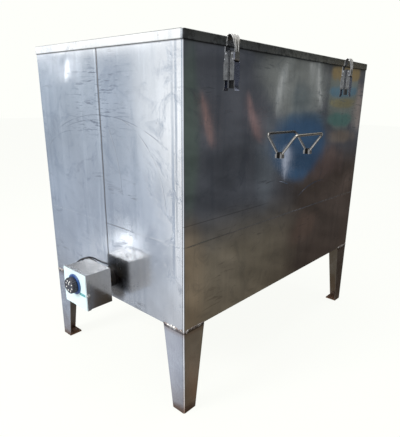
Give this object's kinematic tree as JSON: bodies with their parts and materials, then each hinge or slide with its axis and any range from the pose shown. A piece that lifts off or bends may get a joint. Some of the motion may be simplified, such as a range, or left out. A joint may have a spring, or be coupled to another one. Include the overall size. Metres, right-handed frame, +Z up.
{
  "type": "heated honey and wax vat",
  "caption": "Heated stainless vat on tapered legs with a hinged, latched lid, carrying handles, a thermostat box and a drain valve.",
  "frame": {"origin": "the point of the floor under the middle of the tank", "axes": "+Z up; X along the tank's long side, with the thermostat at -X and the drain at +X; the latches face -Y and the lid's hinges +Y"},
  "size_m": [1.069, 0.637, 0.8446],
  "materials": {
    "tank_sheet": "mill-finish stainless sheet, lightly scratched and smudged",
    "leg_sheet": "stainless sheet with heat tint at the welds",
    "inner_sheet": "satin stainless sheet",
    "bright_fitting": "bright polished stainless",
    "brass_head": "plain turned brass",
    "box_sheet": "satin folded steel",
    "white_cover": "smooth pale paint",
    "dial_blue": "satin blue",
    "knob_black": "satin black",
    "switch_cream": "matt cream",
    "gland_black": "matt black",
    "black_rubber": "matt black",
    "seal_red": "matt brick-red silicone",
    "lever_blue": "dipped blue coating"
  },
  "bodies": {
    "vat": {"cover_screw_left": "bright_fitting", "cover_screw_right": "bright_fitting", "dial_ring": "dial_blue", "drain_socket": "inner_sheet", "drain_spout": "bright_fitting", "false_floor": "inner_sheet", "floor_ledge": "inner_sheet", "foot_plate_front_left": "leg_sheet", "foot_plate_front_right": "leg_sheet", "foot_plate_rear_left": "leg_sheet", "foot_plate_rear_right": "leg_sheet", "frame_rail_front": "inner_sheet", "frame_rail_rear": "inner_sheet", "front_plate": "white_cover", "front_shell": "tank_sheet", "handle_bar_front": "bright_fitting", "handle_bar_rear": "bright_fitting", "handle_foot_front_left": "bright_fitting", "handle_foot_front_right": "bright_fitting", "handle_foot_rear_left": "bright_fitting", "handle_foot_rear_right": "bright_fitting", "heater_element": "bright_fitting", "heater_head": "brass_head", "heater_seal": "black_rubber", "heater_socket": "inner_sheet", "hinge_leaf_tank_left": "bright_fitting", "hinge_leaf_tank_right": "bright_fitting", "hinge_pin_left": "bright_fitting", "hinge_pin_right": "bright_fitting", "latch_base_left": "bright_fitting", "latch_base_right": "bright_fitting", "latch_pivot_left": "bright_fitting", "latch_pivot_right": "bright_fitting", "leg_front_left": "leg_sheet", "leg_front_right": "leg_sheet", "leg_rear_left": "leg_sheet", "leg_rear_right": "leg_sheet", "mains_gland": "gland_black", "rear_shell": "tank_sheet", "sensor_lead": "black_rubber", "sensor_well": "inner_sheet", "tank_floor": "inner_sheet", "thermostat_cover": "white_cover", "thermostat_housing": "box_sheet", "thermostat_switch": "switch_cream", "top_flange": "inner_sheet", "valve_body": "bright_fitting"},
    "lid": {"lid_pan": "tank_sheet", "lid_seal": "seal_red", "hinge_leaf_lid_left": "bright_fitting", "hinge_leaf_lid_right": "bright_fitting"},
    "latch_lever_left": {"latch_lever_left": "bright_fitting", "latch_hook_pin_left": "bright_fitting"},
    "latch_hook_left": {"latch_hook_left": "bright_fitting"},
    "latch_lever_right": {"latch_lever_right": "bright_fitting", "latch_hook_pin_right": "bright_fitting"},
    "latch_hook_right": {"latch_hook_right": "bright_fitting"},
    "knob": {"thermostat_knob": "knob_black"},
    "valve_handle": {"valve_ball": "bright_fitting", "valve_lever": "lever_blue"}
  },
  "joints": [
    {"name": "lid_hinge", "type": "hinge", "parent": "vat", "child": "lid", "pos_m": [0, 0.2783, 0.816], "axis": [-1, 0, 0], "range_deg": [0, 105]},
    {"name": "latch_lever_left", "type": "hinge", "parent": "vat", "child": "latch_lever_left", "pos_m": [-0.277, -0.28, 0.807], "axis": [-1, 0, 0], "range_deg": [0, 96]},
    {"name": "latch_hook_left", "type": "hinge", "parent": "latch_lever_left", "child": "latch_hook_left", "pos_m": [-0.277, -0.2825, 0.7965], "axis": [1, 0, 0], "range_deg": [0, 120]},
    {"name": "latch_lever_right", "type": "hinge", "parent": "vat", "child": "latch_lever_right", "pos_m": [0.277, -0.28, 0.807], "axis": [-1, 0, 0], "range_deg": [0, 96]},
    {"name": "latch_hook_right", "type": "hinge", "parent": "latch_lever_right", "child": "latch_hook_right", "pos_m": [0.277, -0.2825, 0.7965], "axis": [1, 0, 0], "range_deg": [0, 120]},
    {"name": "thermostat_knob", "type": "hinge", "parent": "vat", "child": "knob", "pos_m": [-0.5345, 0, 0.286], "axis": [-1, 0, 0], "range_deg": [0, 270]},
    {"name": "valve_lever", "type": "hinge", "parent": "vat", "child": "valve_handle", "pos_m": [0.46765, 0, 0.246], "axis": [0, 0, -1], "range_deg": [0, 90]}
  ],
  "couplings": [
    {"joint": "latch_hook_left", "follows": "latch_lever_left", "ratio": 1.25},
    {"joint": "latch_hook_right", "follows": "latch_lever_right", "ratio": 1.25}
  ]
}
